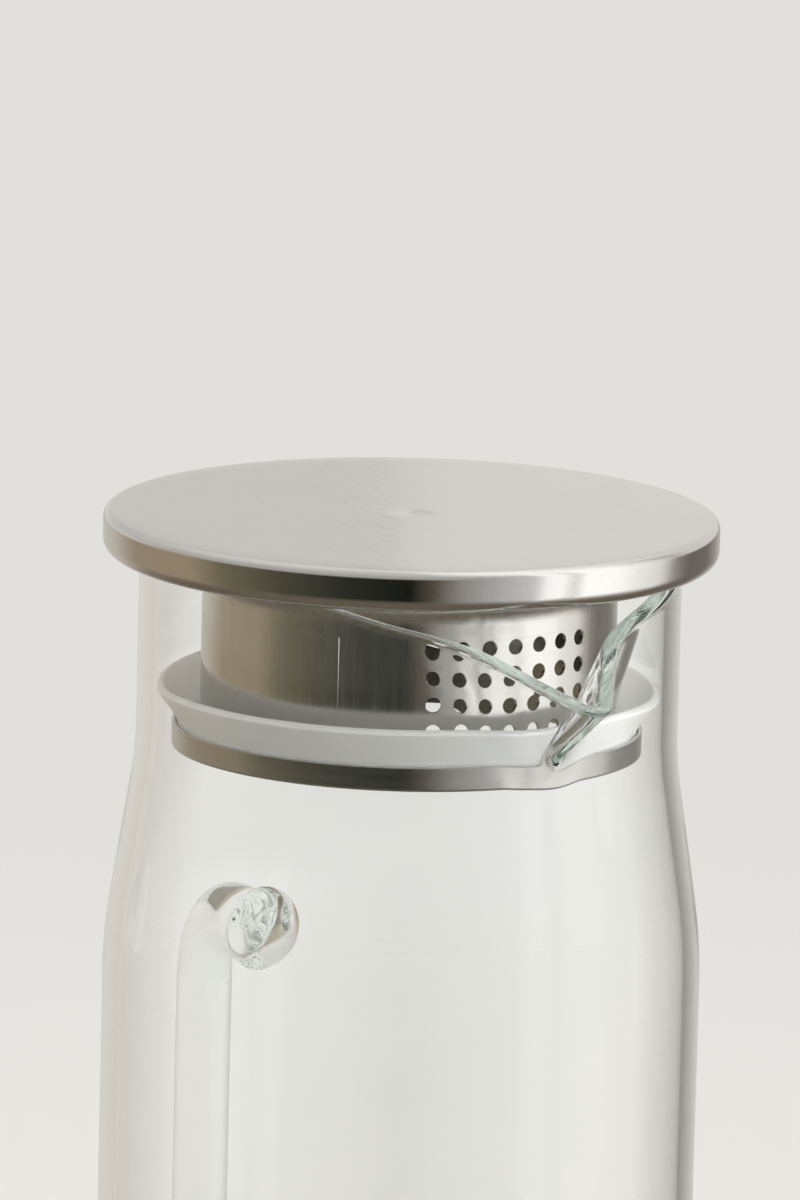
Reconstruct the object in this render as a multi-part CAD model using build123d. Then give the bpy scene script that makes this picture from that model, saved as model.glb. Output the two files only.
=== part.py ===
from build123d import *
import os
from math import atan, cos, radians, sin, tan

# A glass water jug with a drop-in steel lid. The jug is blown glass: a straight belly, a
# soft shoulder, a straight neck and a pulled V spout, with a bent glass rod fused on as the
# handle. The lid is a hemmed steel cap over a plate. Below it hangs a strainer tube that is
# holed on one side only, and a silicone seal sits in a channel at the foot of the tube.
# Turning the lid in its seal brings the holes to the spout, or a plain wall to shut it.
#
# Millimetres. The origin is the centre of the base, +Z is up, the spout points along +X
# and the handle along -X.

# Glass body
rim_z = 236.0
neck_r = 44.0
shoulder_out = 4.7
wall = 2.6
base_t = 5.0
neck_end_below_rim = 33.1
belly_start_below_rim = 63.6
shoulder_top_bend = 60.0
shoulder_low_bend = 90.0
heel_r = 7.0
inner_heel_r = 5.0
rim_round = 1.1
rim_round_share = 0.46

# Spout: a V-shaped trough with a rounded ridge, cut off along a falling lip
ridge_foot_below_rim = 27.6
ridge_tip_out = 17.5
ridge_tip_up = 12.3
spout_half_angle = 35.0
ridge_round = 4.2
lip_start_x = 26.0
lip_fall = 0.43
lip_bend = 30.0

# Handle: a round glass rod with flared feet, fused to the belly
rod_r = 5.8
finger_gap = 18.0
upper_arm_below_rim = 72.5
arm_spacing = 102.0
handle_bend = 14.0
foot_flare = 1.8
foot_flare_length = 6.0

# Lid cap: a shallow cup whose lower edge is hemmed inward under the plate
cap_overhang = 6.0
cap_height = 7.0
cap_sheet = 1.0
cap_top_round = 1.5
cap_hem_round = 1.4
hem_sheet = 0.7
hem_clearance = 1.2
seat_gap = 0.1

# Lid plate that closes the cap and lies on the glass rim
plate_t = 0.8
plate_fit = 0.05

# Strainer: a flared collar under the plate, and a rolled and lapped sleeve below it
neck_room = 7.7
sheet = 0.6
collar_bend = 5.5
collar_flange = 0.8
collar_height = 8.1
sleeve_length = 23.0
lap_start = -65.0
lap_angle = 16.0
lap_sheet = 0.4

# Holes of the strainer, in one field that faces the spout when the lid is open
hole_r = 1.23
hole_rows = 4
hole_columns = 7
hole_row_pitch = 4.4
hole_column_pitch = 7.85
first_row_below_collar = 1.5
hole_field_angle = 0.5

# Seal channel at the foot of the strainer
channel_width = 4.5
channel_height = 4.0
channel_round = 0.5

# Seal: a silicone ring with one lip that leans up and out to the glass
seal_tip_gap = 0.2
seal_gap = 0.2
seal_lip = 1.3
seal_lip_rise = 5.6
seal_above_channel = 0.4
seal_tip_round = 0.4

# Room that cutting shapes run past what they cut, and the distance that counts as touching
over = 20.0
touch = 0.001

# Heights and radii that follow from the sizes above
belly_r = neck_r + shoulder_out
cap_r = neck_r + cap_overhang
hem_inner_r = neck_r + hem_clearance
sleeve_r = neck_r - wall - neck_room
plate_z = rim_z + seat_gap
cap_z = plate_z - hem_sheet
collar_z = plate_z - collar_height
sleeve_z = collar_z - sleeve_length
channel_z = sleeve_z - sheet
sleeve_bore_r = sleeve_r - sheet
channel_r = sleeve_r + channel_width
ridge_slope = atan(ridge_tip_up / ridge_tip_out)
upper_arm_z = rim_z - upper_arm_below_rim
lower_arm_z = upper_arm_z - arm_spacing
grip_x = belly_r + finger_gap + rod_r
rod_end_x = -belly_r - foot_flare_length


def turned(points, bends):
    """A solid turned about Z from (radius, height) points, with a bend at each inner point."""
    line = [(r, 0, z) for r, z in points]
    outline = Curve() + FilletPolyline(*line, radius=bends) + Line(line[-1], line[0])
    return revolve(make_face(outline), Axis.Z)


def jug_shape(inset, floor_z, heel):
    """The turned shape of the jug, drawn in by inset, solid, and running on above the rim."""
    belly = belly_r - inset
    neck = neck_r - inset
    points = [
        (0, floor_z),
        (belly, floor_z),
        (belly, rim_z - belly_start_below_rim),
        (neck, rim_z - neck_end_below_rim),
        (neck, rim_z + over),
        (0, rim_z + over),
    ]
    return turned(points, [heel, shoulder_low_bend, shoulder_top_bend, 0])


def spout_wedge(apex_round):
    """The V of the spout as a solid bar. Glass and hollow have their ridges about one line."""
    half = radians(spout_half_angle)
    apex = ridge_round - apex_round / sin(half)
    reach = neck_r
    width = (reach - apex) * tan(half)
    along = (cos(ridge_slope), 0, sin(ridge_slope))
    foot = Plane(origin=(neck_r, 0, rim_z - ridge_foot_below_rim), x_dir=(0, 1, 0), z_dir=along)
    vee = FilletPolyline((-width, reach), (0, apex), (width, reach), radius=apex_round)
    section = make_face(Curve() + vee + Line((width, reach), (-width, reach)))
    back = 1.5 * over
    return extrude(foot.offset(-back) * section, amount=back + 2 * over)


def lies_on(edge, shape):
    """True for an edge that runs on the surface of a shape, or inside it."""
    return all(shape.distance_to(edge @ part) < touch for part in (0.1, 0.5, 0.9))


def above_lip():
    """All that lies above the rim and above the falling lip of the spout."""
    far = 2 * belly_r
    far_z = rim_z - lip_fall * (far - lip_start_x)
    lip = FilletPolyline((-far, 0, rim_z), (lip_start_x, 0, rim_z), (far, 0, far_z), radius=lip_bend)
    high = rim_z + 3 * over
    top = Polyline((far, 0, far_z), (far, 0, high), (-far, 0, high), (-far, 0, rim_z))
    return extrude(make_face(Curve() + lip + top), amount=far, both=True)


def glass_body():
    """The blown jug: its outside less its hollow, cut along the lip, with a melted rim."""
    outside = jug_shape(0, 0, heel_r) + spout_wedge(ridge_round)
    hollow = jug_shape(wall, base_t, inner_heel_r) + spout_wedge(ridge_round - wall)
    cut = above_lip()
    glass = outside - hollow - cut
    walls = [face for face in glass.faces() if cut.distance_to(face.position_at(0.5, 0.5)) > touch]
    rim = [edge for face in walls for edge in face.edges() if lies_on(edge, cut)]
    return fillet(rim, min(rim_round, rim_round_share * wall))


def foot(arm_z):
    """The melted foot of one handle arm: a trumpet turned about the arm, from the rod's end."""
    rod_edge_z = arm_z + rod_r
    foot_edge_z = rod_edge_z + foot_flare
    flare = ThreePointArc(
        (rod_end_x, 0, rod_edge_z),
        (-belly_r - foot_flare_length / 3, 0, rod_edge_z + foot_flare / 3),
        (-belly_r, 0, foot_edge_z),
    )
    inside_x = wall - belly_r
    rest = Polyline(
        (-belly_r, 0, foot_edge_z),
        (inside_x, 0, foot_edge_z),
        (inside_x, 0, arm_z),
        (rod_end_x, 0, arm_z),
        (rod_end_x, 0, rod_edge_z),
    )
    return revolve(make_face(Curve() + flare + rest), Axis((0, 0, arm_z), (1, 0, 0)))


def glass_handle():
    """A bent glass rod whose two feet flare where they melt into the belly."""
    path = FilletPolyline(
        (rod_end_x, 0, upper_arm_z),
        (-grip_x, 0, upper_arm_z),
        (-grip_x, 0, lower_arm_z),
        (rod_end_x, 0, lower_arm_z),
        radius=handle_bend,
    )
    rod = sweep(Plane(origin=path @ 0, z_dir=path % 0) * Circle(rod_r), path=path)
    return rod + foot(upper_arm_z) + foot(lower_arm_z) - jug_shape(0, 0, heel_r)


def lid_cap():
    """The steel cap: a shallow cup upside down, its edge hemmed in under the plate."""
    top_z = cap_z + cap_height
    points = [
        (hem_inner_r, cap_z),
        (cap_r, cap_z),
        (cap_r, top_z),
        (0, top_z),
        (0, top_z - cap_sheet),
        (cap_r - cap_sheet, top_z - cap_sheet),
        (cap_r - cap_sheet, plate_z),
        (hem_inner_r, plate_z),
    ]
    inner_top_round = cap_top_round - cap_sheet
    return turned(points, [cap_hem_round, cap_top_round, 0, 0, inner_top_round, cap_hem_round - hem_sheet])


def lid_plate():
    """The flat plate that closes the cap from below and lies on the glass rim."""
    plate_r = cap_r - cap_sheet - plate_fit
    points = [(0, plate_z), (plate_r, plate_z), (plate_r, plate_z + plate_t), (0, plate_z + plate_t)]
    return turned(points, [cap_hem_round - hem_sheet, 0])


def strainer_collar():
    """The flared collar that hangs the strainer from the plate."""
    flare_r = sleeve_r + collar_bend + collar_flange
    points = [
        (sleeve_r, collar_z),
        (sleeve_r, plate_z - sheet),
        (flare_r, plate_z - sheet),
        (flare_r, plate_z),
        (sleeve_bore_r, plate_z),
        (sleeve_bore_r, collar_z),
    ]
    return turned(points, [collar_bend, 0, 0, collar_bend + sheet])


def strainer_sleeve():
    """The sleeve: rolled sheet with a lapped seam, and holes on the spout's side only."""
    low, high = sleeve_z, sleeve_z + sleeve_length
    sleeve = turned([(sleeve_bore_r, low), (sleeve_r, low), (sleeve_r, high), (sleeve_bore_r, high)], [0, 0])
    lap_r = sleeve_r + lap_sheet
    lap_face = make_face(
        Polyline((sleeve_r, 0, low), (lap_r, 0, low), (lap_r, 0, high), (sleeve_r, 0, high), close=True)
    )
    lap = revolve(lap_face, Axis.Z, revolution_arc=lap_angle)
    sleeve += Rot(0, 0, lap_start) * lap
    first_angle = hole_field_angle - hole_column_pitch * (hole_columns - 1) / 2
    holes = []
    for column in range(hole_columns):
        angle = radians(first_angle + column * hole_column_pitch)
        outward = (cos(angle), sin(angle), 0)
        for row in range(hole_rows):
            z = high - first_row_below_collar - row * hole_row_pitch
            middle = (sleeve_r * outward[0], sleeve_r * outward[1], z)
            holes.append(Plane(origin=middle, z_dir=outward) * Cylinder(hole_r, 4 * sheet))
    return sleeve - holes


def seal_channel():
    """The steel ring at the foot of the sleeve, an angle in section, that carries the seal."""
    points = [
        (sleeve_bore_r, channel_z),
        (channel_r, channel_z),
        (channel_r, channel_z + channel_height),
        (channel_r - sheet, channel_z + channel_height),
        (channel_r - sheet, sleeve_z),
        (sleeve_bore_r, sleeve_z),
    ]
    return turned(points, [channel_round, 0, 0, 0])


def lid_seal():
    """The silicone ring: a foot in the channel and a lip that leans out to the neck."""
    inner_r = sleeve_r + lap_sheet + seal_gap
    outer_r = channel_r - sheet - seal_gap
    foot_z = sleeve_z + seal_gap
    waist_z = channel_z + channel_height + seal_above_channel
    tip_r = neck_r - wall - seal_tip_gap
    lean = atan((tip_r - outer_r) / seal_lip_rise)
    inward = seal_lip * cos(lean)
    upward = seal_lip * sin(lean)
    tip_z = waist_z + seal_lip_rise
    points = [
        (inner_r, foot_z),
        (outer_r, foot_z),
        (outer_r, waist_z),
        (tip_r, tip_z),
        (tip_r - inward, tip_z + upward),
        (outer_r - inward, waist_z + upward),
        (inner_r, waist_z + upward),
    ]
    return turned(points, [0, seal_lip, seal_tip_round, seal_tip_round, seal_lip])


os.makedirs("parts", exist_ok=True)
pieces = {
    "glass_body": glass_body(),
    "glass_handle": glass_handle(),
    "lid_cap": lid_cap(),
    "lid_plate": lid_plate(),
    "strainer_collar": strainer_collar(),
    "strainer_sleeve": strainer_sleeve(),
    "seal_channel": seal_channel(),
    "lid_seal": lid_seal(),
}
for name, piece in pieces.items():
    export_step(piece, f"parts/{name}.step")
    print(name, round(piece.volume), "mm3")
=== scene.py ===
"""Looks of the glass jug: blown glass with a rod handle, a steel lid with a strainer, a silicone seal.

Shapes are worked out in millimetres on the frame's own sizes and put into metres at the end.
"""

import math

import bpy
import numpy as np
from mathutils import Matrix, Vector


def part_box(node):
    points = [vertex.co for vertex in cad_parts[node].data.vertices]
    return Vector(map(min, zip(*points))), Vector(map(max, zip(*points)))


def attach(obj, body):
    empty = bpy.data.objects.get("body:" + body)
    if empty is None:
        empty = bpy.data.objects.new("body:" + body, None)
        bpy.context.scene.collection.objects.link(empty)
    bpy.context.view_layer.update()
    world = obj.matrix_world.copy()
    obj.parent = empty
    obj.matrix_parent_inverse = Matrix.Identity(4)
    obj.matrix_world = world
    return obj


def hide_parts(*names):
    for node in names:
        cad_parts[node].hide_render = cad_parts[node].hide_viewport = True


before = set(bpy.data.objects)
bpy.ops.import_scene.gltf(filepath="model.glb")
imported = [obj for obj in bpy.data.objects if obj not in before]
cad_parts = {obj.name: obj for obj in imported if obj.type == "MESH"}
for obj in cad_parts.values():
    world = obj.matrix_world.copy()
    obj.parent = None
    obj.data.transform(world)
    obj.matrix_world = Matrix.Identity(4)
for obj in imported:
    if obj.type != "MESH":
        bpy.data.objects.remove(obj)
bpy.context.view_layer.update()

MM = 0.001


def node_box(node):
    """The lowest and highest corner of a CAD node, in millimetres."""
    low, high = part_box(node)
    return np.array(low) / MM, np.array(high) / MM


# Sizes that the frame gives, in millimetres
body_low, body_high = node_box("glass_body")
handle_low, handle_high = node_box("glass_handle")
cap_low, cap_high = node_box("lid_cap")
plate_low, plate_high = node_box("lid_plate")
collar_low, _ = node_box("strainer_collar")
sleeve_low, sleeve_high = node_box("strainer_sleeve")
channel_low, channel_high = node_box("seal_channel")
seal_low, seal_high = node_box("lid_seal")

belly_r = -body_low[0]
rim_z = body_high[2]
cap_r = cap_high[0]
plate_z = plate_low[2]
sleeve_r = sleeve_high[0]
channel_r = channel_high[0]
seal_tip_r = seal_high[0]
grip_out = -handle_low[0]
arm_top_z = handle_high[2]
arm_low_z = handle_low[2]

# Glass body
cap_overhang = 6.0
neck_end_below_rim = 33.1
belly_start_below_rim = 63.6
neck_r = cap_r - cap_overhang
neck_end_z = rim_z - neck_end_below_rim
belly_start_z = rim_z - belly_start_below_rim
wall = 2.6
base_t = 5.0
heel_r = 7.0
inner_heel_r = 5.0
shoulder_top_bend = 60.0
shoulder_low_bend = 90.0
rim_round = 1.15
glass_sharp_angle = 60.0

# Spout: a V trough, its ridge rising outward from the neck, cut along a falling lip
ridge_foot_below_rim = 27.6
ridge_rise, ridge_run = 12.3, 17.5
ridge_foot_z = rim_z - ridge_foot_below_rim
ridge_slope = math.atan2(ridge_rise, ridge_run)
spout_half_angle = math.radians(35.0)
ridge_round = 4.2
lip_start_x = 26.0
lip_fall = 0.43
lip_bend = 30.0
crease_blend = 5.0

# Handle
rod_r = 5.8
foot_flare = 1.8
foot_flare_length = 6.0
handle_bend = 14.0

# Lid
cap_sheet = 1.0
cap_top_round = 1.5
cap_hem_round = 2.4
hem_sheet = 0.7
hem_clearance = 1.2
hem_inner_r = neck_r + hem_clearance
plate_inset = 1.3
plate_edge_round = 0.3
sheet = 0.6
collar_bend = 5.5
collar_flange = 0.8
lap_start = -65.0
lap_angle = 16.0
lap_step = 0.1
lap_room = 0.4
channel_round = 0.5
dimple_r = 0.9
dimple_depth = 0.12

# Holes of the strainer, and how many lattice steps a hole's cell has on each side
hole_r = 1.23
hole_rows = 4
hole_columns = 7
hole_row_pitch = 4.4
hole_column_pitch = 7.85
first_row_below_collar = 1.5
hole_field_angle = 0.5
cell_steps = 12

# Seal
seal_lip_rise = 5.6
seal_gap = 0.2
seal_lip = 1.3
seal_above_channel = 0.4
seal_tip_round = 0.4


# Meshes

def add_mesh(name, points, faces, sharp_angle=40.0):
    """A mesh object from points in millimetres, shaded smooth but for edges above sharp_angle."""
    points = np.asarray(points, float)
    triangles = [(face[0], a, b) for face in faces for a, b in zip(face[1:], face[2:])]
    corners = points[triangles]
    if np.einsum("ij,ij->i", corners[:, 0], np.cross(corners[:, 1], corners[:, 2])).sum() < 0:
        faces = [face[::-1] for face in faces]
    mesh = bpy.data.meshes.new(name)
    mesh.from_pydata((points * MM).tolist(), [], faces)
    mesh.validate()
    mesh.shade_smooth()
    mesh.set_sharp_from_angle(angle=math.radians(sharp_angle))
    obj = bpy.data.objects.new(name, mesh)
    bpy.context.scene.collection.objects.link(obj)
    return obj


def rounded(points, radii, steps=8):
    """A polyline of (r, z) points with an arc of its own radius at each inner point."""
    points = [np.array(p, float) for p in points]
    line = [points[0]]
    for before, corner, after, radius in zip(points, points[1:], points[2:], radii):
        to_before = (before - corner) / np.linalg.norm(before - corner)
        to_after = (after - corner) / np.linalg.norm(after - corner)
        half = math.acos(np.clip(np.dot(to_before, to_after), -1, 1)) / 2
        reach = radius / math.tan(half)
        middle_way = to_before + to_after
        centre = corner + middle_way / np.linalg.norm(middle_way) * radius / math.sin(half)
        start = corner + to_before * reach - centre
        end = corner + to_after * reach - centre
        sweep = math.pi - 2 * half
        for i in range(steps + 1):
            t = i / steps
            a = math.sin((1 - t) * sweep) / math.sin(sweep)
            b = math.sin(t * sweep) / math.sin(sweep)
            line.append(centre + a * start + b * end)
    line.append(points[-1])
    return line


def spread(line, longest):
    """The same polyline with its long stretches cut into steps no longer than longest."""
    out = [line[0]]
    for a, b in zip(line, line[1:]):
        count = max(1, math.ceil(np.linalg.norm(b - a) / longest))
        out += [a + (b - a) * i / count for i in range(1, count + 1)]
    return out


def skin(name, grid, closed_along, sharp_angle=40.0):
    """A skin over a grid of points [along][around], closed around.

    Along, it is a closed loop, or it ends on single points: the first and last row are then poles.
    """
    grid = np.asarray(grid, float)
    rows, around = grid.shape[:2]
    faces = []
    if closed_along:
        points = grid.reshape(-1, 3)
        for i in range(rows):
            j = (i + 1) % rows
            for k in range(around):
                m = (k + 1) % around
                faces.append((i * around + k, i * around + m, j * around + m, j * around + k))
        return add_mesh(name, points, faces, sharp_angle)
    points = np.vstack([grid[1:-1].reshape(-1, 3), grid[0].mean(0), grid[-1].mean(0)])
    first, last = len(points) - 2, len(points) - 1
    inner = rows - 2
    for i in range(inner - 1):
        for k in range(around):
            m = (k + 1) % around
            faces.append((i * around + k, i * around + m, (i + 1) * around + m, (i + 1) * around + k))
    for k in range(around):
        m = (k + 1) % around
        faces.append((first, m, k))
        faces.append((last, (inner - 1) * around + k, (inner - 1) * around + m))
    return add_mesh(name, points, faces, sharp_angle)


def lathe(name, line, closed, around=256, longest=4.0):
    """A line of (r, z) points turned about Z. A line that isn't closed starts and ends on the axis."""
    line = np.array(spread(list(line) + ([line[0]] if closed else []), longest))
    if closed:
        line = line[:-1]
    angles = np.arange(around) * 2 * math.pi / around
    r = line[:, 0][:, None]
    z = np.repeat(line[:, 1][:, None], around, 1)
    grid = np.stack([r * np.cos(angles), r * np.sin(angles), z], -1)
    return skin(name, grid, closed)


# Glass body

def jug_line(inset, floor_z, heel):
    """Half the section of the turned jug, from the axis to far above the rim."""
    far_z = rim_z + 20
    return rounded(
        [(0, floor_z), (belly_r - inset, floor_z), (belly_r - inset, belly_start_z),
         (neck_r - inset, neck_end_z), (neck_r - inset, far_z)],
        [heel, shoulder_low_bend, shoulder_top_bend],
        steps=12,
    )


def soft_union(a, b, blend):
    """The lesser of two distances, with a soft blend where they are close."""
    near = np.clip(blend - np.abs(a - b), 0, None) / blend
    return np.minimum(a, b) - near * near * blend / 4


def spout_distance(x, y, z, apex_round):
    """How far a point lies outside the V bar of the spout."""
    up = (z - ridge_foot_z) * math.cos(ridge_slope) - (x - neck_r) * math.sin(ridge_slope) - ridge_round
    side = np.abs(y)
    flank = side * math.cos(spout_half_angle) - up * math.sin(spout_half_angle) - apex_round
    ridge = np.hypot(side, up) - apex_round
    on_ridge = up * math.cos(spout_half_angle) + side * math.sin(spout_half_angle) < 0
    return np.where(on_ridge, ridge, flank)


def glass_radius(angle, z, inset, line):
    """Radius of the jug's surface at an angle and a height, spout included, found by halving."""
    heights = np.array([p[1] for p in line])
    radii = np.array([p[0] for p in line])
    upper = heights > belly_start_z / 2
    turned = np.interp(z, heights[upper], radii[upper])
    farthest_r, just_inside = 90.0, 0.01
    spout_side = 0.3
    halvings = 40
    low = turned - just_inside
    high = np.full_like(turned, farthest_r)
    for _ in range(halvings):
        r = (low + high) / 2
        bar = spout_distance(r * np.cos(angle), r * np.sin(angle), z, ridge_round - inset)
        bar = np.where(np.cos(angle) > spout_side, bar, crease_blend)
        outside = soft_union(r - turned, bar, crease_blend) > 0
        high = np.where(outside, r, high)
        low = np.where(outside, low, r)
    return (low + high) / 2


def lip_height(x):
    """Height of the rim above a point x: level, then falling towards the tip of the spout."""
    turn = math.atan(lip_fall)
    reach = lip_bend * math.tan(turn / 2)
    start = lip_start_x - reach
    end = lip_start_x + reach * math.cos(turn)
    bend = rim_z - lip_bend + np.sqrt(np.clip(lip_bend**2 - (x - start) ** 2, 0, None))
    fall = rim_z - lip_fall * (x - lip_start_x)
    return np.where(x < start, rim_z, np.where(x < end, bend, fall))


def lip_of_wall(angle, inset, line):
    """Radius and height at which one surface of the glass meets the lip."""
    z = np.full_like(angle, rim_z)
    tries, step = 60, 0.6
    for _ in range(tries):
        r = glass_radius(angle, z, inset, line)
        z = (1 - step) * z + step * lip_height(r * np.cos(angle))
    return glass_radius(angle, z, inset, line), z


def glass_rows(angle, inset, floor_z, heel, upper_rows):
    """Rows of one surface, from its pole to just below the lip, and its point on the lip."""
    line = jug_line(inset, floor_z, heel)
    spout_reach_down = 8.0
    longest = 5.0
    below = 0.2
    turned_to = neck_end_z - spout_reach_down
    low = [p for p in spread(line, longest) if p[1] < turned_to]
    rows = [(np.full_like(angle, p[0]), np.full_like(angle, p[1])) for p in low]
    lip_r, lip_z = lip_of_wall(angle, inset, line)
    slope = (lip_r - glass_radius(angle, lip_z - below, inset, line)) / below
    top_z = lip_z - rim_round / np.hypot(1, slope)
    for i in range(upper_rows + 1):
        z = turned_to + (top_z - turned_to) * i / upper_rows
        rows.append((glass_radius(angle, z, inset, line), z))
    return rows, (lip_r, lip_z)


def corner_rows(start, corner, end, steps=6):
    """Rows that round one edge of the rim, without their two ends."""
    rows = []
    for i in range(1, steps):
        t = i / steps
        shares = ((1 - t) ** 2, 2 * t * (1 - t), t * t)
        measures = zip(start, corner, end)
        rows.append([sum(share * value for share, value in zip(shares, values)) for values in measures])
    return rows


def glass_body_mesh():
    """The blown body as one closed skin: outside, melted rim, inside. Columns crowd at the spout."""
    around = 360
    upper_rows = 44
    even_share = 0.2
    u = (np.arange(around) + 0.5) / around * 2 - 1
    angle = math.pi * (even_share * u + (1 - even_share) * u**3)
    outer, outer_lip = glass_rows(angle, 0.0, 0.0, heel_r, upper_rows)
    inner, inner_lip = glass_rows(angle, wall, base_t, inner_heel_r, upper_rows)
    across = [i - o for i, o in zip(inner_lip, outer_lip)]
    length = np.hypot(*across)
    from_outer = [o + a / length * rim_round for o, a in zip(outer_lip, across)]
    from_inner = [i - a / length * rim_round for i, a in zip(inner_lip, across)]
    rim = corner_rows(outer[-1], outer_lip, from_outer)
    rim += [from_outer, from_inner]
    rim += corner_rows(from_inner, inner_lip, inner[-1])
    rows = outer + rim + inner[::-1]
    grid = [np.stack([r * np.cos(angle), r * np.sin(angle), z], -1) for r, z in rows]
    return skin("glass_body_blown", grid, False, glass_sharp_angle)


# Handle

def handle_mesh():
    """The glass rod, bent twice, with feet that flare as they melt into the belly."""
    around = 40
    melt_reach = 1.5 * foot_flare_length
    melt_power = 2.6
    sunk = 0.9
    top_z = arm_top_z - rod_r - foot_flare
    low_z = arm_low_z + rod_r + foot_flare
    grip_x = grip_out - rod_r
    path = rounded([(belly_r, low_z), (grip_x, low_z), (grip_x, top_z), (belly_r, top_z)],
                   [handle_bend, handle_bend], steps=24)
    path = np.array(spread(path, 1.0))
    ahead = np.gradient(path, axis=0)
    ahead /= np.linalg.norm(ahead, axis=1)[:, None]
    angles = np.arange(around) * 2 * math.pi / around
    run = np.concatenate([[0], np.cumsum(np.linalg.norm(np.diff(path, axis=0), axis=1))])
    from_end = np.minimum(run, run[-1] - run)
    melt = np.clip(1 - from_end / melt_reach, 0, 1)
    radius = rod_r + foot_flare * melt**melt_power
    rows = []
    for (x, z), (dx, dz), r, end in zip(path, ahead, radius, from_end):
        side = r * np.cos(angles)
        lift = r * np.sin(angles)
        px = x - dz * lift
        pz = z + dx * lift
        wall_x = np.sqrt(belly_r**2 - side**2) - sunk
        hug = np.clip(1 - end / foot_flare_length, 0, 1)
        px = px + (wall_x - belly_r) * hug
        rows.append(np.stack([-px, side, pz], -1))
    poles = [np.repeat(row.mean(0)[None], around, 0) for row in (rows[0], rows[-1])]
    for pole in poles:
        pole[:, 0] = sunk - belly_r
        pole[:, 1] = 0
    return skin("glass_handle_rod", [poles[0]] + rows + [poles[1]], False, glass_sharp_angle)


def fuse(body, handle):
    """The handle melted into the body, so that no inner face is left between them."""
    union = body.modifiers.new("fuse", "BOOLEAN")
    union.operation = "UNION"
    union.solver = "EXACT"
    union.object = handle
    graph = bpy.context.evaluated_depsgraph_get()
    mesh = bpy.data.meshes.new_from_object(body.evaluated_get(graph))
    body.modifiers.clear()
    body.data = mesh
    bpy.data.objects.remove(handle)
    mesh.shade_smooth()
    mesh.set_sharp_from_angle(angle=math.radians(glass_sharp_angle))
    return body


# Lid

def cap_mesh():
    """The brushed cap with its rounded top edge, its hem and the small centre mark of its spinning."""
    top_z = cap_high[2]
    cap_z = cap_low[2]
    outer = rounded(
        [(dimple_r, top_z), (cap_r, top_z), (cap_r, cap_z), (hem_inner_r, cap_z)],
        [cap_top_round, cap_hem_round], steps=10)
    side_r = cap_r - cap_sheet
    under_z = top_z - cap_sheet
    inner = rounded(
        [(hem_inner_r, plate_z), (side_r, plate_z), (side_r, under_z), (0, under_z)],
        [cap_hem_round - hem_sheet, cap_top_round - cap_sheet])
    steps = 6
    dimple = []
    for i in range(steps):
        t = i / steps
        dimple.append(np.array((dimple_r * t, top_z - dimple_depth * (1 + math.cos(math.pi * t)) / 2)))
    return lathe("lid_cap_brushed", dimple + outer + inner, False, around=384)


def plate_mesh():
    """The flat plate inside the cap."""
    plate_r = cap_r - cap_sheet - plate_inset
    low_z, high_z = plate_low[2], plate_high[2]
    line = rounded([(0, low_z), (plate_r, low_z), (plate_r, high_z), (0, high_z)],
                   [plate_edge_round, plate_edge_round])
    return lathe("lid_plate_flat", line, False)


def collar_mesh():
    """The flared collar under the plate."""
    collar_z = collar_low[2]
    tube_r = sleeve_r
    flare_r = tube_r + collar_bend + collar_flange
    bore_r = tube_r - sheet
    under_z = plate_z - sheet
    start = (bore_r, (collar_z + plate_z) / 2)
    foot_round, edge_round = 0.02, 0.1
    line = rounded(
        [start, (bore_r, collar_z), (tube_r, collar_z), (tube_r, under_z),
         (flare_r, under_z), (flare_r, plate_z), (bore_r, plate_z), start],
        [foot_round, foot_round, collar_bend, edge_round, edge_round, collar_bend + sheet - foot_round])
    return lathe("strainer_collar_flared", line[:-1], True, longest=1.5)


def sleeve_columns():
    """Angles of the sleeve's lattice lines: even over the holes, wider elsewhere, doubled at the lap."""
    pitch = math.radians(hole_column_pitch)
    first = math.radians(hole_field_angle) - pitch * hole_columns / 2
    field = [first + pitch * i / cell_steps for i in range(hole_columns * cell_steps)]
    after = first + pitch * hole_columns
    rest = 2 * math.pi - pitch * hole_columns
    rest_count = 190
    step = math.radians(0.12)
    others = {after + rest * i / rest_count for i in range(rest_count)}
    for edge in (lap_start, lap_start + lap_angle):
        turn = math.radians(edge % 360)
        others = {a for a in others if abs(a - turn) > 2 * step} | {turn - step / 2, turn + step / 2}
    return field + sorted(others)


def sleeve_heights():
    """Heights of the lattice lines: the sleeve's plain foot, then one cell for each row of holes."""
    low_z, high_z = sleeve_low[2], sleeve_high[2]
    middle = high_z - first_row_below_collar
    borders = [middle - hole_row_pitch * (row - 0.5) for row in range(hole_rows, 0, -1)] + [high_z]
    foot_steps = 8
    heights = [low_z + (borders[0] - low_z) * i / foot_steps for i in range(foot_steps)]
    for a, b in zip(borders, borders[1:]):
        heights += [a + (b - a) * i / cell_steps for i in range(cell_steps)]
    return heights + [high_z], foot_steps


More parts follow.
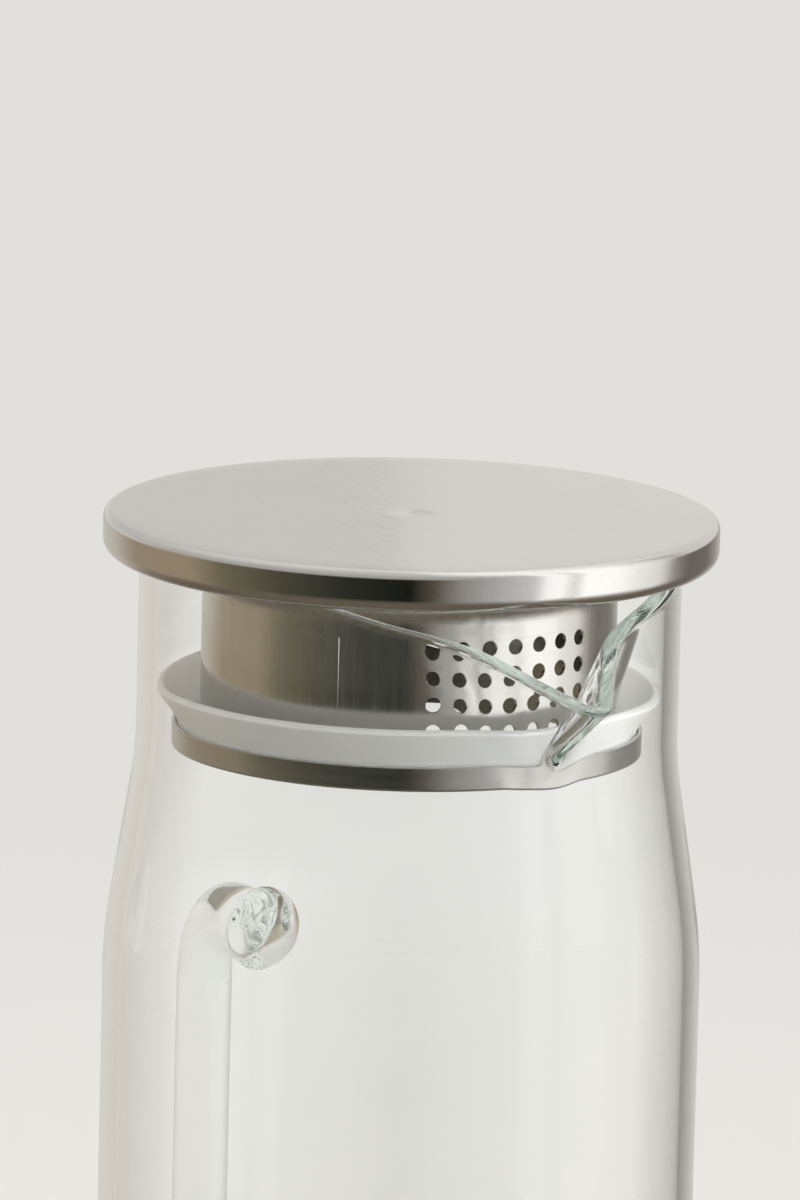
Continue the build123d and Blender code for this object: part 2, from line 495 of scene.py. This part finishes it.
def sleeve_mesh():
    """The rolled sleeve with its lapped seam and its field of round holes, each with a broken edge."""
    angles, (heights, foot_steps) = sleeve_columns(), sleeve_heights()
    across, up = len(angles), len(heights)
    field_columns = hole_columns * cell_steps
    lap_from, lap_to = math.radians(lap_start % 360), math.radians((lap_start + lap_angle) % 360)
    broken_edge = 0.07
    points, faces = [], []

    def radius(angle, outer):
        lapped = lap_from < angle < lap_to
        return (sleeve_r + lap_step * lapped) if outer else sleeve_r - sheet

    def place(angle, z, r):
        points.append((r * math.cos(angle), r * math.sin(angle), z))
        return len(points) - 1

    def inside_hole_cell(i, j):
        in_field = 0 < i < field_columns and foot_steps < j < up - 1
        return in_field and i % cell_steps and (j - foot_steps) % cell_steps

    lattices, hole_rims = [], []
    for outer in (True, False):
        lattice = {}
        for i, angle in enumerate(angles):
            for j, z in enumerate(heights):
                if not inside_hole_cell(i, j):
                    lattice[i, j] = place(angle, z, radius(angle, outer))
        for i in range(across):
            for j in range(up - 1):
                if i >= field_columns or j < foot_steps:
                    m = (i + 1) % across
                    quad = (lattice[i, j], lattice[m, j], lattice[m, j + 1], lattice[i, j + 1])
                    faces.append(quad if outer else quad[::-1])
        rims = []
        for column in range(hole_columns):
            for row in range(hole_rows):
                i0, j0 = column * cell_steps, foot_steps + row * cell_steps
                border = [(i0 + k, j0) for k in range(cell_steps)]
                border += [(i0 + cell_steps, j0 + k) for k in range(cell_steps)]
                border += [(i0 + cell_steps - k, j0 + cell_steps) for k in range(cell_steps)]
                border += [(i0, j0 + cell_steps - k) for k in range(cell_steps)]
                border = [(i % across, j) for i, j in border]
                middle = angles[i0] + math.radians(hole_column_pitch) / 2
                middle_z = heights[-1] - first_row_below_collar - hole_row_pitch * (hole_rows - 1 - row)
                surface = radius(middle, outer)
                sunk = broken_edge * (-1 if outer else 1)
                rings = [[lattice[b] for b in border]]
                for r, depth in ((hole_r + broken_edge, 0), (hole_r, sunk)):
                    ring = []
                    for i, j in border:
                        turn = math.atan2(heights[j] - middle_z, sleeve_r * (angles[i] - middle))
                        ring.append(place(middle + r * math.cos(turn) / sleeve_r,
                                          middle_z + r * math.sin(turn), surface + depth))
                    rings.append(ring)
                for a, b in zip(rings, rings[1:]):
                    for k in range(len(a)):
                        m = (k + 1) % len(a)
                        quad = (a[k], a[m], b[m], b[k])
                        faces.append(quad if outer else quad[::-1])
                rims.append(rings[-1])
        lattices.append(lattice)
        hole_rims.append(rims)
    for a, b in zip(*hole_rims):
        for k in range(len(a)):
            m = (k + 1) % len(a)
            faces.append((a[k], a[m], b[m], b[k]))
    outer, inner = lattices
    for i in range(across):
        m = (i + 1) % across
        faces.append((outer[m, 0], outer[i, 0], inner[i, 0], inner[m, 0]))
        faces.append((outer[i, up - 1], outer[m, up - 1], inner[m, up - 1], inner[i, up - 1]))
    return add_mesh("strainer_sleeve_holed", points, faces, sharp_angle=30.0)


def channel_mesh():
    """The steel ring at the foot of the sleeve, turned up at its edge to hold the seal."""
    low_z, high_z = channel_low[2], channel_high[2]
    bore_r = sleeve_r - sheet
    foot_z = low_z + sheet
    wall_r = channel_r - sheet
    start = (bore_r, (low_z + foot_z) / 2)
    edge_round, lip_round = 0.1, 0.2
    line = rounded(
        [start, (bore_r, low_z), (channel_r, low_z), (channel_r, high_z),
         (wall_r, high_z), (wall_r, foot_z), (bore_r, foot_z), start],
        [edge_round, channel_round, lip_round, lip_round, edge_round, edge_round])
    return lathe("seal_channel_ring", line[:-1], True, around=320, longest=2.0)


def seal_mesh():
    """The silicone ring: its foot in the channel and its lip that leans out to the neck."""
    inner_r = sleeve_r + lap_room + seal_gap
    outer_r = channel_r - sheet - seal_gap
    foot_z = seal_low[2]
    waist_z = channel_high[2] + seal_above_channel
    tip_r = seal_tip_r
    lean = math.atan((tip_r - outer_r) / seal_lip_rise)
    inward = seal_lip * math.cos(lean)
    upward = seal_lip * math.sin(lean)
    tip_z = waist_z + seal_lip_rise
    start = (inner_r, (foot_z + waist_z) / 2)
    foot_round = 0.3
    line = rounded(
        [start, (inner_r, foot_z), (outer_r, foot_z), (outer_r, waist_z),
         (tip_r, tip_z), (tip_r - inward, tip_z + upward), (outer_r - inward, waist_z + upward),
         (inner_r, waist_z + upward), start],
        [foot_round, foot_round, seal_lip, seal_tip_round, seal_tip_round, seal_lip, foot_round])
    return lathe("lid_seal_silicone", line[:-1], True, around=320, longest=1.0)


# Materials

def new_tree(name):
    """A node material with nothing in it but its output."""
    material = bpy.data.materials.new(name)
    material.use_nodes = True
    tree = material.node_tree
    tree.nodes.clear()
    out = tree.nodes.new("ShaderNodeOutputMaterial")
    return material, tree, out


def add_node(tree, kind, settings=None, **sockets):
    """A node with its settings, and each named socket either linked or set to a plain value."""
    made = tree.nodes.new("ShaderNode" + kind)
    for key, value in (settings or {}).items():
        setattr(made, key, value)
    for key, value in sockets.items():
        socket = made.inputs[int(key[1:])] if key[1:].isdigit() else made.inputs[key.replace("_", " ")]
        if isinstance(value, bpy.types.NodeSocket):
            tree.links.new(value, socket)
        else:
            socket.default_value = value
    return made


def maths(tree, operation, *values):
    """A Math node's result."""
    sockets = {f"i{i}": value for i, value in enumerate(values)}
    return add_node(tree, "Math", {"operation": operation}, **sockets).outputs[0]


def vector_maths(tree, operation, *vectors, result="Value"):
    """A Vector Math node's result."""
    sockets = {f"i{i}": vector for i, vector in enumerate(vectors)}
    return add_node(tree, "VectorMath", {"operation": operation}, **sockets).outputs[result]


def ramp(tree, factor, stops, interpolation="LINEAR"):
    """A colour ramp through (place, colour) stops. A colour may be one number, for a grey."""
    made = add_node(tree, "ValToRGB", Fac=factor)
    band = made.color_ramp
    band.interpolation = interpolation
    while len(band.elements) < len(stops):
        band.elements.new(0.5)
    for element, (place, _) in zip(band.elements, stops):
        element.position = place
    for element, (_, colour) in zip(band.elements, stops):
        element.color = (*colour, 1) if isinstance(colour, tuple) else (colour, colour, colour, 1)
    return made.outputs[0]


def mixed(tree, share, first, second, blend="MIX"):
    """Two colours, mixed by a share. Each is a socket or three numbers."""
    first, second = [(*c, 1) if isinstance(c, tuple) else c for c in (first, second)]
    settings = {"data_type": "RGBA", "blend_type": blend}
    return add_node(tree, "Mix", settings, i0=share, i6=first, i7=second).outputs[2]


def spread_range(tree, value, low, high, to_low, to_high):
    """A value mapped smoothly from one range to another, held at both ends."""
    settings = {"interpolation_type": "SMOOTHSTEP"}
    made = add_node(tree, "MapRange", settings, Value=value, From_Min=low, From_Max=high,
                    To_Min=to_low, To_Max=to_high)
    return made.outputs[0]


def object_point(tree):
    """The point on the piece, in the shared frame."""
    return add_node(tree, "TexCoord").outputs["Object"]


def noise(tree, vector, scale, detail=2.0, roughness=0.5):
    """A noise value between 0 and 1."""
    made = add_node(tree, "TexNoise", Vector=vector, Scale=scale, Detail=detail, Roughness=roughness)
    return made.outputs[0]


def stretched(tree, point, scale):
    """The point scaled by its own factor in each direction, for grain that runs one way."""
    return add_node(tree, "Mapping", Vector=point, Scale=scale).outputs[0]


def dimmed(colour, share):
    """A share of a colour."""
    return tuple(share * c for c in colour)


def steel(name, base, roughness, grain, grain_depth=0.00001, bore_r=0.0):
    """Brushed stainless steel. Its grain runs along the shortest of the three grain scales.

    Within bore_r millimetres of the axis it is darker: painted shade inside the strainer's bore.
    """
    cloud_scale = 28.0
    cloud_dim, streak_dim, streak_share, bore_shade_dim = 0.95, 0.93, 0.8, 0.5
    grain_swing, cloud_smooth, cloud_rough = 0.03, -0.02, 0.03
    material, tree, out = new_tree(name)
    point = object_point(tree)
    lines = noise(tree, stretched(tree, point, grain), 1.0, detail=3.0, roughness=0.6)
    clouds = noise(tree, point, cloud_scale, detail=3.0)
    tone = ramp(tree, clouds, [(0.3, dimmed(base, cloud_dim)), (0.7, base)])
    streaks = ramp(tree, lines, [(0.25, streak_dim), (0.75, 1.0)])
    polished = mixed(tree, streak_share, tone, streaks, "MULTIPLY")
    in_plan = vector_maths(tree, "MULTIPLY", point, (1.0, 1.0, 0.0), result="Vector")
    from_axis = vector_maths(tree, "LENGTH", in_plan)
    # Painted shade: near the axis, inside the strainer, the colour is dimmed for the shadow there.
    in_shaded_bore = maths(tree, "LESS_THAN", from_axis, bore_r * MM)
    colour = mixed(tree, in_shaded_bore, polished, dimmed(base, bore_shade_dim))
    rough_lines = spread_range(tree, lines, 0.3, 0.7, roughness - grain_swing, roughness + grain_swing)
    rough_clouds = spread_range(tree, clouds, 0.35, 0.7, cloud_smooth, cloud_rough)
    rough = maths(tree, "ADD", rough_lines, rough_clouds)
    bump = add_node(tree, "Bump", Strength=0.35, Distance=grain_depth, Height=lines)
    shader = add_node(tree, "BsdfPrincipled", Base_Color=colour, Metallic=1.0, Roughness=rough,
                      Normal=bump.outputs[0])
    tree.links.new(shader.outputs[0], out.inputs["Surface"])
    return material


def glass_material():
    """Clear blown glass with a slow ripple and a breath of green where it is thick.

    The ripple dies away towards the handle, whose feet would scramble it.
    """
    ripple_scale = (26.0, 26.0, 9.0)
    ripple_depth = 0.0002
    calm_from_x, rippled_from_x = -0.046, -0.036
    thick_tint, thick_density = (0.80, 0.95, 0.87), 1.8
    material, tree, out = new_tree("clear_glass")
    point = object_point(tree)
    ripple = noise(tree, stretched(tree, point, ripple_scale), 1.0, detail=1.0)
    x = add_node(tree, "SeparateXYZ", Vector=point).outputs[0]
    calm = spread_range(tree, x, calm_from_x, rippled_from_x, 0.0, 1.0)
    height = maths(tree, "MULTIPLY", ripple, calm)
    bump = add_node(tree, "Bump", Strength=0.25, Distance=ripple_depth, Height=height)
    faint = noise(tree, point, 60.0)
    tint = ramp(tree, faint, [(0.3, (0.985, 0.995, 0.988)), (0.7, (0.995, 1.0, 0.995))])
    shader = add_node(tree, "BsdfPrincipled", Base_Color=tint, Roughness=0.0, IOR=1.47,
                      Transmission_Weight=1.0, Normal=bump.outputs[0])
    absorb = add_node(tree, "VolumeAbsorption", Color=(*thick_tint, 1), Density=thick_density)
    tree.links.new(shader.outputs[0], out.inputs["Surface"])
    tree.links.new(absorb.outputs[0], out.inputs["Volume"])
    return material


def silicone_material():
    """Milky translucent silicone with a soft sheen and a little cloudiness."""
    material, tree, out = new_tree("white_silicone")
    point = object_point(tree)
    clouds = noise(tree, point, 90.0, detail=3.0)
    tone = ramp(tree, clouds, [(0.3, (0.885, 0.92, 0.97)), (0.7, (0.92, 0.95, 0.99))])
    rough = spread_range(tree, clouds, 0.3, 0.7, 0.32, 0.42)
    fine = noise(tree, point, 900.0, detail=2.0)
    bump = add_node(tree, "Bump", Strength=0.1, Distance=0.00005, Height=fine)
    shader = add_node(tree, "BsdfPrincipled", Base_Color=tone, Roughness=rough, IOR=1.41,
                      Transmission_Weight=0.1, Subsurface_Weight=1.0, Subsurface_Scale=0.002,
                      Subsurface_Radius=(1.0, 1.0, 1.0), Normal=bump.outputs[0])
    tree.links.new(shader.outputs[0], out.inputs["Surface"])
    return material


# Camera: it looks down a little, with the spout to the right, and is turned by a small roll
image_width, image_height = 800, 1200
camera_azimuth = math.radians(60.0)
camera_elevation = math.radians(11.2)
camera_roll = math.radians(1.4)
camera_distance = 2.0
pixels_per_mm = 6.17
aim_pixel = (411.0, 555.0)
sensor = 36.0

toward_camera = Vector((math.sin(camera_azimuth), -math.cos(camera_azimuth), 0))
camera_right = Vector((math.cos(camera_azimuth), math.sin(camera_azimuth), 0))


def add_camera():
    """The photograph's camera: the centre of the lid's foot falls on the aim pixel."""
    back = toward_camera * math.cos(camera_elevation) + Vector((0, 0, math.sin(camera_elevation)))
    up = back.cross(camera_right)
    right = camera_right * math.cos(camera_roll) + up * math.sin(camera_roll)
    up = back.cross(right)
    aim = Vector((0, 0, cap_low[2] * MM))
    beside = (aim_pixel[0] - image_width / 2) / pixels_per_mm * MM
    above = (image_height / 2 - aim_pixel[1]) / pixels_per_mm * MM
    place = aim + back * camera_distance - right * beside - up * above
    data = bpy.data.cameras.new("camera")
    data.sensor_width = sensor
    data.lens = pixels_per_mm * camera_distance / MM * sensor / image_height
    data.clip_end = 50.0
    camera = bpy.data.objects.new("camera", data)
    camera.matrix_world = Matrix.Translation(place) @ Matrix((right, up, back)).transposed().to_4x4()
    bpy.context.scene.collection.objects.link(camera)
    bpy.context.scene.camera = camera


# Light and stage

pale = (0.752, 0.744, 0.722)
matte_lift = 2.9
wandering_from = 3
wandering_share = 0.9
glass_gain = 0.12


def straight_rays(tree, own_depth):
    """1 for what the camera sees directly or through glass, 0 for light and reflections on the object.

    The world counts itself as one step further, so its own_depth is 1, and a surface's is 0. Light that
    has turned wandering_from times or more in thick glass comes out mostly pale too.
    """
    path = add_node(tree, "LightPath").outputs
    turned = maths(tree, "SUBTRACT", path["Ray Depth"], path["Transmission Depth"])
    unturned = maths(tree, "LESS_THAN", turned, own_depth + 0.5)
    wandering = maths(tree, "GREATER_THAN", turned, own_depth + wandering_from - 0.5)
    pale_share = maths(tree, "MULTIPLY_ADD", wandering, wandering_share, unturned)
    through = maths(tree, "MULTIPLY", path["Is Transmission Ray"], pale_share)
    return maths(tree, "MAXIMUM", path["Is Camera Ray"], through)


def add_world():
    """A pale room: a bright window to the right, a dim side towards the camera, and a light ceiling.

    Colours round the room are given by degrees to the right of the camera, seen from the jug, and
    heights by the sine of the angle above the horizon.
    """
    wall_colours = [
        (-180, (0.62, 0.60, 0.56)), (-145, (0.60, 0.56, 0.49)), (-125, (0.39, 0.32, 0.23)),
        (-90, (0.38, 0.31, 0.215)), (-75, (0.19, 0.17, 0.11)), (-50, (0.092, 0.084, 0.06)),
        (-25, (0.035, 0.037, 0.028)), (0, (0.012, 0.014, 0.011)), (9, (0.12, 0.10, 0.075)),
        (20, (0.36, 0.35, 0.33)), (38, 0.62), (47, 0.75), (52, 1.3), (58, (1.4, 1.4, 1.38)),
        (64, (0.95, 0.95, 0.94)), (69, (1.45, 1.45, 1.43)), (84, (1.4, 1.39, 1.37)),
        (94, (1.15, 1.13, 1.10)), (107, (0.95, 0.93, 0.90)), (117, (0.33, 0.31, 0.28)),
        (127, (0.18, 0.165, 0.15)), (145, (0.20, 0.185, 0.16)), (165, (0.48, 0.46, 0.42)),
        (180, (0.62, 0.60, 0.56)),
    ]
    ceiling_colours = [
        (-180, (0.95, 0.94, 0.92)), (-110, (0.85, 0.84, 0.82)), (-50, (0.70, 0.69, 0.67)),
        (10, (0.75, 0.74, 0.73)), (50, 1.25), (100, (1.3, 1.29, 1.28)), (180, (0.95, 0.94, 0.92)),
    ]
    backdrop_colours = [
        (-180, pale), (-120, pale), (-85, dimmed(pale, 0.65)), (-50, pale), (50, pale), (85, pale),
        (180, pale),
    ]
    behind_colour = (0.80, 0.785, 0.755)
    front_colour = (0.62, 0.61, 0.59)
    table_colour = (0.17, 0.145, 0.11)
    behind_from, behind_to = math.radians(95), math.radians(135)
    front_from, front_to = math.radians(40), math.radians(10)
    front_share, table_share = 0.8, 0.45
    horizon_from, horizon_to = -0.1, 0.08
    upper_from, upper_to = -0.06, 0.3
    ceiling_from, ceiling_to = 0.42, 1.02
    table_from, table_to = -0.3, -0.55

    world = bpy.data.worlds.new("room")
    bpy.context.scene.world = world
    world.use_nodes = True
    tree = world.node_tree
    tree.nodes.clear()
    out = tree.nodes.new("ShaderNodeOutputWorld")
    direction = add_node(tree, "TexCoord").outputs["Generated"]
    height = add_node(tree, "SeparateXYZ", Vector=direction).outputs[2]
    beside = vector_maths(tree, "DOT_PRODUCT", direction, tuple(camera_right))
    ahead = vector_maths(tree, "DOT_PRODUCT", direction, tuple(toward_camera))
    turn = maths(tree, "ARCTAN2", beside, ahead)
    place = maths(tree, "MULTIPLY_ADD", turn, 1 / (2 * math.pi), 0.5)

    def round_room(colours, interpolation="LINEAR"):
        return ramp(tree, place, [(degrees / 360 + 0.5, c) for degrees, c in colours], interpolation)

    walls = round_room(wall_colours)
    sideways = maths(tree, "ABSOLUTE", turn)
    behind = maths(tree, "MULTIPLY",
                   spread_range(tree, sideways, behind_from, behind_to, 0.0, 1.0),
                   spread_range(tree, height, horizon_from, horizon_to, 0.0, 1.0))
    room = mixed(tree, behind, walls, behind_colour)
    upper_front = maths(tree, "MULTIPLY",
                        spread_range(tree, height, upper_from, upper_to, 0.0, front_share),
                        spread_range(tree, turn, front_from, front_to, 0.0, 1.0))
    room = mixed(tree, upper_front, room, front_colour)
    overhead = spread_range(tree, height, ceiling_from, ceiling_to, 0.0, 1.0)
    room = mixed(tree, overhead, room, round_room(ceiling_colours))
    table = mixed(tree, table_share, table_colour, walls)
    low_down = spread_range(tree, height, table_from, table_to, 0.0, 1.0)
    room = mixed(tree, low_down, room, table)

    path = add_node(tree, "LightPath").outputs
    scattered = maths(tree, "GREATER_THAN", path["Diffuse Depth"], 0.5)
    in_glass = maths(tree, "MULTIPLY", scattered, path["Is Transmission Ray"])
    lift = maths(tree, "MULTIPLY_ADD", in_glass, matte_lift, 1.0)
    lighting = add_node(tree, "Background", Color=room, Strength=lift)
    gain = maths(tree, "MULTIPLY_ADD", path["Is Transmission Ray"], glass_gain, 1.0)
    seen = add_node(tree, "Background", Color=round_room(backdrop_colours, "EASE"), Strength=gain)
    straight = straight_rays(tree, 1)
    both = add_node(tree, "MixShader", i0=straight, i1=lighting.outputs[0], i2=seen.outputs[0])
    tree.links.new(both.outputs[0], out.inputs["Surface"])


def add_floor():
    """A pale round floor whose edge fades into the backdrop, kept out of the object.

    Its radius and fades are in metres, and floor_z is in millimetres. The object mirrors less of it.
    """
    floor_r, floor_z = 0.95, -0.05
    fade_from, fade_to = 0.45, floor_r * 0.98
    mirrored_from, mirrored_to = 0.2, 0.5
    floor_glow = 0.22
    mirrored_colour = (0.20, 0.17, 0.13)
    count = 96
    turns = [i * 2 * math.pi / count for i in range(count)]
    ring = [(floor_r / MM * math.cos(turn), floor_r / MM * math.sin(turn), floor_z) for turn in turns]
    floor = add_mesh("floor", ring, [tuple(range(count))])
    material, tree, out = new_tree("pale_floor")
    point = object_point(tree)
    reach = vector_maths(tree, "LENGTH", point)
    straight = straight_rays(tree, 0)
    shown = maths(tree, "MAXIMUM", straight, add_node(tree, "LightPath").outputs["Is Diffuse Ray"])
    fade_seen = spread_range(tree, reach, fade_from, fade_to, 0.0, 1.0)
    fade_mirrored = spread_range(tree, reach, mirrored_from, mirrored_to, 0.0, 1.0)
    fade = add_node(tree, "Mix", i0=straight, i2=fade_mirrored, i3=fade_seen).outputs[0]
    grain = noise(tree, point, 14.0, detail=3.0)
    tone = ramp(tree, grain, [(0.3, (0.79, 0.78, 0.76)), (0.7, (0.80, 0.79, 0.77))])
    matte = add_node(tree, "BsdfDiffuse", Color=mixed(tree, shown, mirrored_colour, tone))
    glow = maths(tree, "MULTIPLY", straight, floor_glow)
    shine = add_node(tree, "Emission", Color=(*pale, 1), Strength=glow)
    lit = add_node(tree, "AddShader", i0=matte.outputs[0], i1=shine.outputs[0])
    clear = add_node(tree, "BsdfTransparent")
    both = add_node(tree, "MixShader", i0=fade, i1=lit.outputs[0], i2=clear.outputs[0])
    tree.links.new(both.outputs[0], out.inputs["Surface"])
    floor.data.materials.append(material)


# Pieces: the nodes each stands for, the body it rides on, its slot in the record and its material

glass = glass_material()
cap_steel = steel("brushed_steel", (0.735, 0.72, 0.70), 0.09, (60.0, 900.0, 900.0))
# The strainer's steel has painted shade inside its bore.
strainer_steel = steel("rolled_steel", (0.77, 0.755, 0.725), 0.16, (700.0, 700.0, 40.0),
                       grain_depth=0.000004, bore_r=sleeve_r - sheet / 2)
# The channel's steel is painted darker: painted shade where the seal's lip shadows it.
shaded_channel_steel = steel("rolled_steel_painted_shade", (0.56, 0.545, 0.525), 0.16, (60.0, 60.0, 900.0))
silicone = silicone_material()

pieces = {
    ("glass_body", "glass_handle"): (fuse(glass_body_mesh(), handle_mesh()), "jug", "glass", glass),
    ("lid_seal",): (seal_mesh(), "seal", "silicone", silicone),
    ("lid_cap",): (cap_mesh(), "lid", "satin_steel", cap_steel),
    ("lid_plate",): (plate_mesh(), "lid", "inner_steel", strainer_steel),
    ("strainer_collar",): (collar_mesh(), "lid", "inner_steel", strainer_steel),
    ("strainer_sleeve",): (sleeve_mesh(), "lid", "inner_steel", strainer_steel),
    ("seal_channel",): (channel_mesh(), "lid", "inner_steel", shaded_channel_steel),
}
for nodes, (piece, body, slot, material) in pieces.items():
    piece.data.materials.append(material)
    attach(piece, body)
    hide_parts(*nodes)

add_camera()
add_world()
add_floor()

glass_bounces, matte_bounces = 128, 8
scene = bpy.context.scene
scene.view_settings.view_transform = "Standard"
scene.cycles.max_bounces = glass_bounces
scene.cycles.diffuse_bounces = matte_bounces
scene.cycles.glossy_bounces = glass_bounces
scene.cycles.transmission_bounces = glass_bounces
